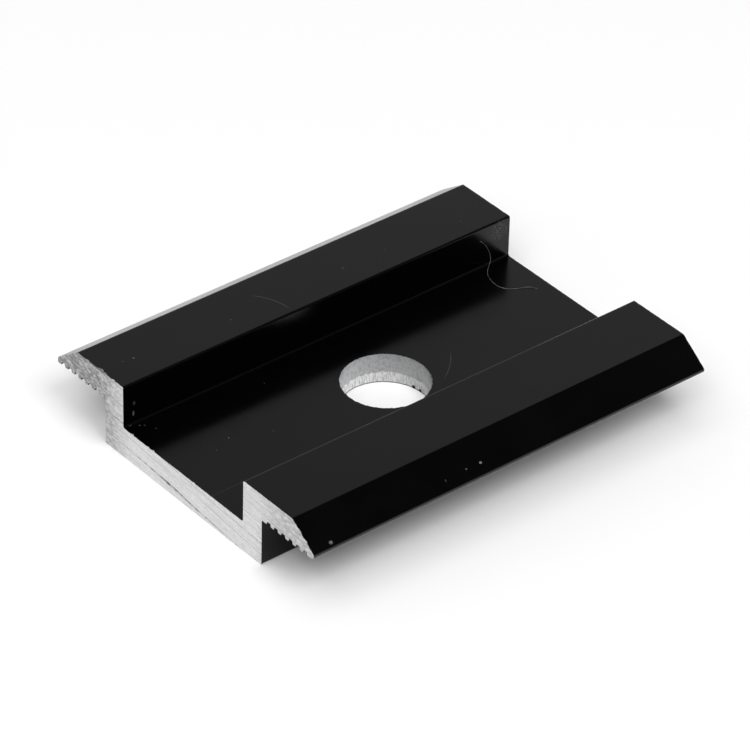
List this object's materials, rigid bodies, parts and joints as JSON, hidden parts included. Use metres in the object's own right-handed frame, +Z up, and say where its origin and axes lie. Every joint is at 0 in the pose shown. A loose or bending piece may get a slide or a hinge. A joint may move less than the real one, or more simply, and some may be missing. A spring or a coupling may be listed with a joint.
{
  "type": "solar mid clamp",
  "caption": "Black anodised aluminium mid clamp that holds two framed solar modules side by side on a rail; bolted through its channel.",
  "frame": {"origin": "axis of the bolt hole at the base's underside", "axes": "+Z up out of the channel, +Y along the extrusion, +X across the channel from flange to flange"},
  "size_m": [0.0408, 0.0501, 0.0084],
  "materials": {
    "black_anodised": "black anodised, satin"
  },
  "bodies": {
    "root": {"mid_clamp": "black_anodised"}
  },
  "joints": []
}
